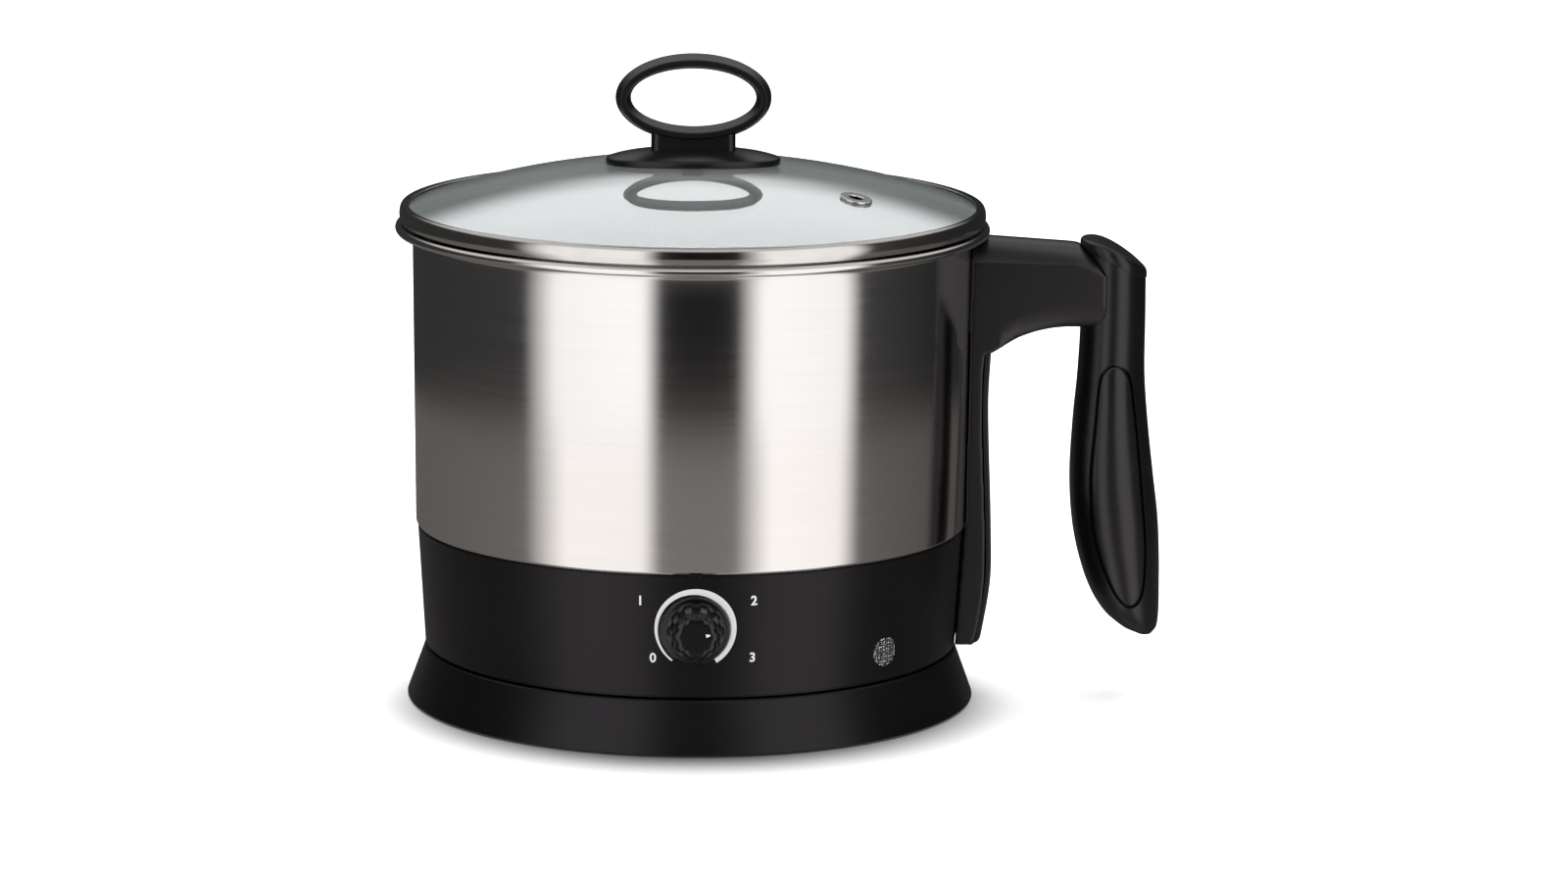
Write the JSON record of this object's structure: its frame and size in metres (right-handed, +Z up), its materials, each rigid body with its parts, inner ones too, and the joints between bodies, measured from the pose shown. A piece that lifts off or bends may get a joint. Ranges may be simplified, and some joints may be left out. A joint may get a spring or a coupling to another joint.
{
  "type": "electric hot pot with lid",
  "caption": "Round steel cooking pot in a black heater housing with a rotary control, a C-shaped side handle, a domed glass lid with a ring knob, and a swivelling power base.",
  "frame": {"origin": "on the pot's axis, on the surface that the base's feet stand on", "axes": "+Z up along the pot's axis, -Y out through the control knob, +X out through the handle"},
  "size_m": [0.2093, 0.1644, 0.1767],
  "materials": {
    "black_plastic": "satin moulded",
    "handle_plastic": "satin moulded",
    "gloss_black": "gloss moulded",
    "inlay_grey": "fine satin",
    "brushed_steel": "brushed round the pot",
    "polished_steel": "polished",
    "screw_steel": "zinc plated",
    "aluminium": "mill finish",
    "contact_brass": "plated",
    "foot_rubber": "soft",
    "gland_rubber": "soft",
    "silicone": "soft translucent",
    "thermostat_case": "moulded heat-resistant",
    "lens": "ribbed clear",
    "lamp_glass": "clear",
    "lid_glass": "tempered clear"
  },
  "bodies": {
    "power_base": {"base_shell": "black_plastic", "base_plate": "black_plastic", "base_feet": "foot_rubber", "base_screws": "screw_steel", "cord_gland": "gland_rubber", "base_connector": "black_plastic", "base_contacts": "contact_brass"},
    "connector": {"kettle_connector": "black_plastic", "connector_contacts": "contact_brass"},
    "kettle": {"pot_vessel": "brushed_steel", "seal_ring": "silicone", "heat_plate": "aluminium", "heating_element": "aluminium", "element_terminals": "screw_steel", "boil_dry_cutout": "thermostat_case", "thermal_fuse": "thermostat_case", "fuse_clip": "screw_steel", "housing_band": "black_plastic", "housing_bottom": "black_plastic", "connector_keeper": "black_plastic", "housing_screws": "screw_steel", "thermostat_body": "thermostat_case", "thermostat_bracket": "screw_steel", "bracket_screws": "screw_steel", "indicator_lens": "lens", "neon_lamp": "lamp_glass", "handle_bracket": "screw_steel", "handle_frame": "handle_plastic", "strap_cover": "handle_plastic", "grip_inlays": "inlay_grey", "grip_shell": "handle_plastic", "handle_cap": "handle_plastic", "handle_screws": "screw_steel"},
    "knob": {"control_knob": "gloss_black", "thermostat_shaft": "screw_steel"},
    "lid": {"lid_rim": "polished_steel", "lid_glass": "lid_glass", "vent_grommet": "polished_steel", "knob_gasket": "silicone", "lid_knob_base": "handle_plastic", "lid_knob": "handle_plastic", "knob_washer": "screw_steel", "knob_screw": "screw_steel"}
  },
  "joints": [
    {"name": "kettle_lift", "type": "slide", "parent": "power_base", "child": "connector", "axis": [0, 0, 1], "range_m": [0, 0.05]},
    {"name": "kettle_swivel", "type": "hinge", "parent": "connector", "child": "kettle", "pos_m": [0, 0, 0.0228], "axis": [0, 0, 1], "continuous": true},
    {"name": "knob_turn", "type": "hinge", "parent": "kettle", "child": "knob", "pos_m": [0, -0.0731, 0.0337], "axis": [0, 1, 0], "range_deg": [-222, 68]},
    {"name": "lid_lift", "type": "slide", "parent": "kettle", "child": "lid", "axis": [0, 0, 1], "range_m": [0, 0.08]}
  ]
}
